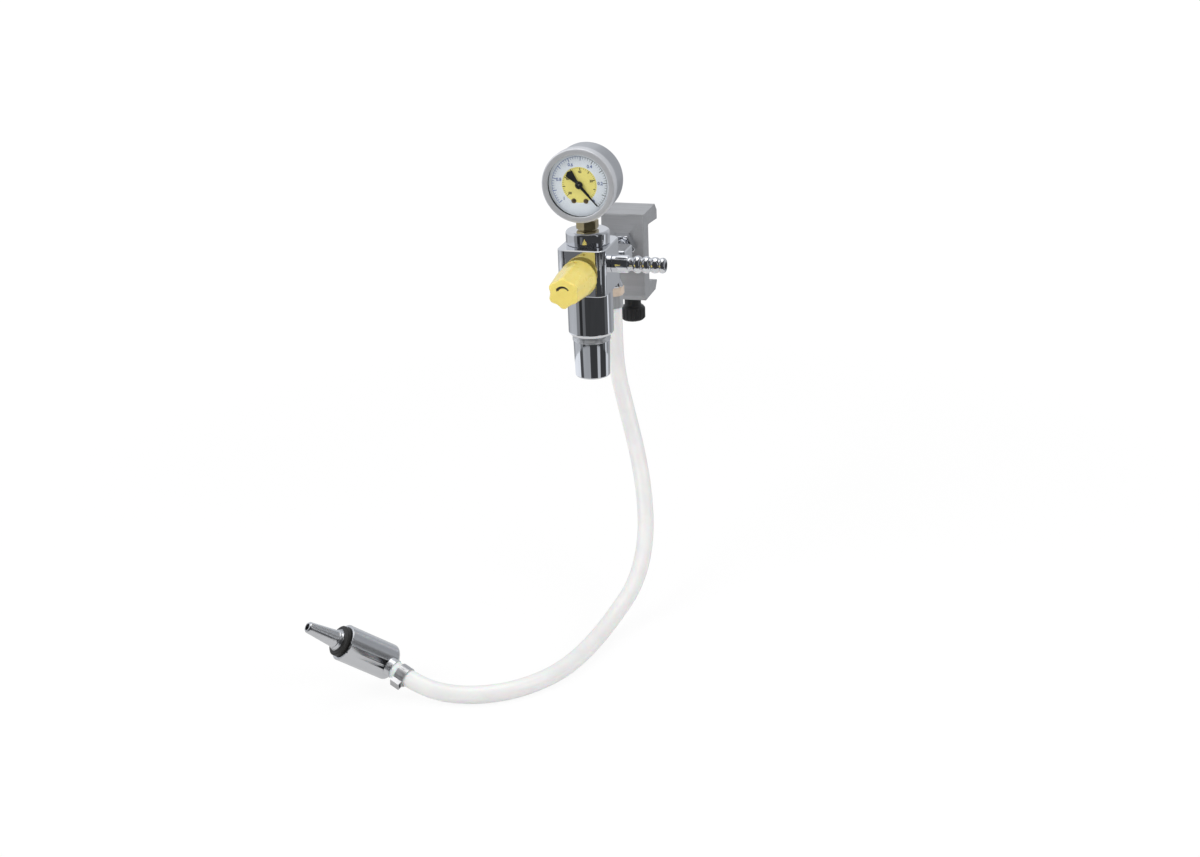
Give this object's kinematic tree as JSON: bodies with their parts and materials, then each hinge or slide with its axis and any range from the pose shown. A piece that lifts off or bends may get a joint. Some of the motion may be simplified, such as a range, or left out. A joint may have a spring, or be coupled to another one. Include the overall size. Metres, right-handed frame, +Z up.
{
  "type": "vacuum regulator",
  "caption": "Chromed vacuum regulator with round dial gauge, lobed control knob, filter cup, rail clamp, barbed outlet and an inlet hose that ends in a probe.",
  "frame": {"origin": "middle of the rail seat, the flat face between the clamp's hook and lower jaw", "axes": "+Y out of the rail seat towards the rail, -Y the way the dial faces, +Z up, +X along the outlet tail"},
  "size_m": [0.199, 0.3416, 0.3385],
  "materials": {
    "chrome": "polished",
    "satin_aluminium": "satin",
    "steel": "satin",
    "brass": "satin",
    "black_plastic": "matte",
    "rubber": "matte",
    "frosted_ring": "satin",
    "filter_cup": "satin",
    "filter_mesh": "matte",
    "yellow_plastic": "gloss",
    "lens_glass": "polished",
    "dial_print": "printed",
    "pointer_black": "satin",
    "hose_pvc": "satin",
    "probe_sleeve": "polished"
  },
  "bodies": {
    "regulator": {"rail_clamp": "satin_aluminium", "clamp_screw": "steel", "clamp_nipple": "chrome", "locknut": "chrome", "tee_block": "chrome", "inlet_nipple": "chrome", "union_nut": "chrome", "inlet_barb": "chrome", "hose_nut": "brass", "hose_ferrule": "steel", "body_block": "chrome", "valve_cage": "brass", "top_cap": "chrome", "cap_o_ring": "rubber", "lower_housing": "chrome", "cup_ring": "frosted_ring", "ring_o_ring": "rubber", "filter_cup": "filter_cup", "filter_element": "filter_mesh", "spindle_gland": "brass", "gland_o_ring": "rubber", "outlet_tail": "chrome", "gauge_case": "chrome", "gauge_bezel": "chrome", "gauge_lens": "lens_glass", "lens_gasket": "rubber", "gauge_dial": "dial_print", "dial_screws": "brass", "movement_frame": "brass", "gauge_stem": "brass", "bourdon_tube": "brass", "inlet_hose": "hose_pvc", "probe_sleeve": "probe_sleeve", "probe_collar": "black_plastic", "probe_nozzle": "chrome", "probe_branch": "probe_sleeve", "hose_clip": "steel"},
    "needle": {"valve_needle": "steel"},
    "knob_set": {"control_knob": "yellow_plastic", "knob_screw": "steel", "valve_spindle": "steel"},
    "pad": {"clamp_pad": "steel"},
    "thumb_screw": {"thumb_knob": "black_plastic", "thumb_stud": "steel"},
    "pointer": {"gauge_pointer": "pointer_black", "pointer_shaft": "steel"}
  },
  "joints": [
    {"name": "needle_feed", "type": "slide", "parent": "regulator", "child": "needle", "axis": [0, -1, 0], "range_m": [-0.003, 0.003]},
    {"name": "knob_turn", "type": "hinge", "parent": "needle", "child": "knob_set", "pos_m": [0, -0.1265, 0.0175], "axis": [0, -1, 0], "range_deg": [-1080, 1080]},
    {"name": "screw_feed", "type": "slide", "parent": "regulator", "child": "pad", "axis": [0, 0, 1], "range_m": [-0.01, 0]},
    {"name": "screw_turn", "type": "hinge", "parent": "pad", "child": "thumb_screw", "pos_m": [0, 0.0105, -0.034], "axis": [0, 0, 1], "range_deg": [-2880, 0]},
    {"name": "pointer_turn", "type": "hinge", "parent": "regulator", "child": "pointer", "pos_m": [0, -0.1211, 0.0806], "axis": [0, -1, 0], "range_deg": [0, 270]}
  ],
  "couplings": [
    {"joint": "knob_turn", "follows": "needle_feed", "rad_per_m": 6283.2},
    {"joint": "screw_turn", "follows": "screw_feed", "rad_per_m": 5026.5}
  ]
}
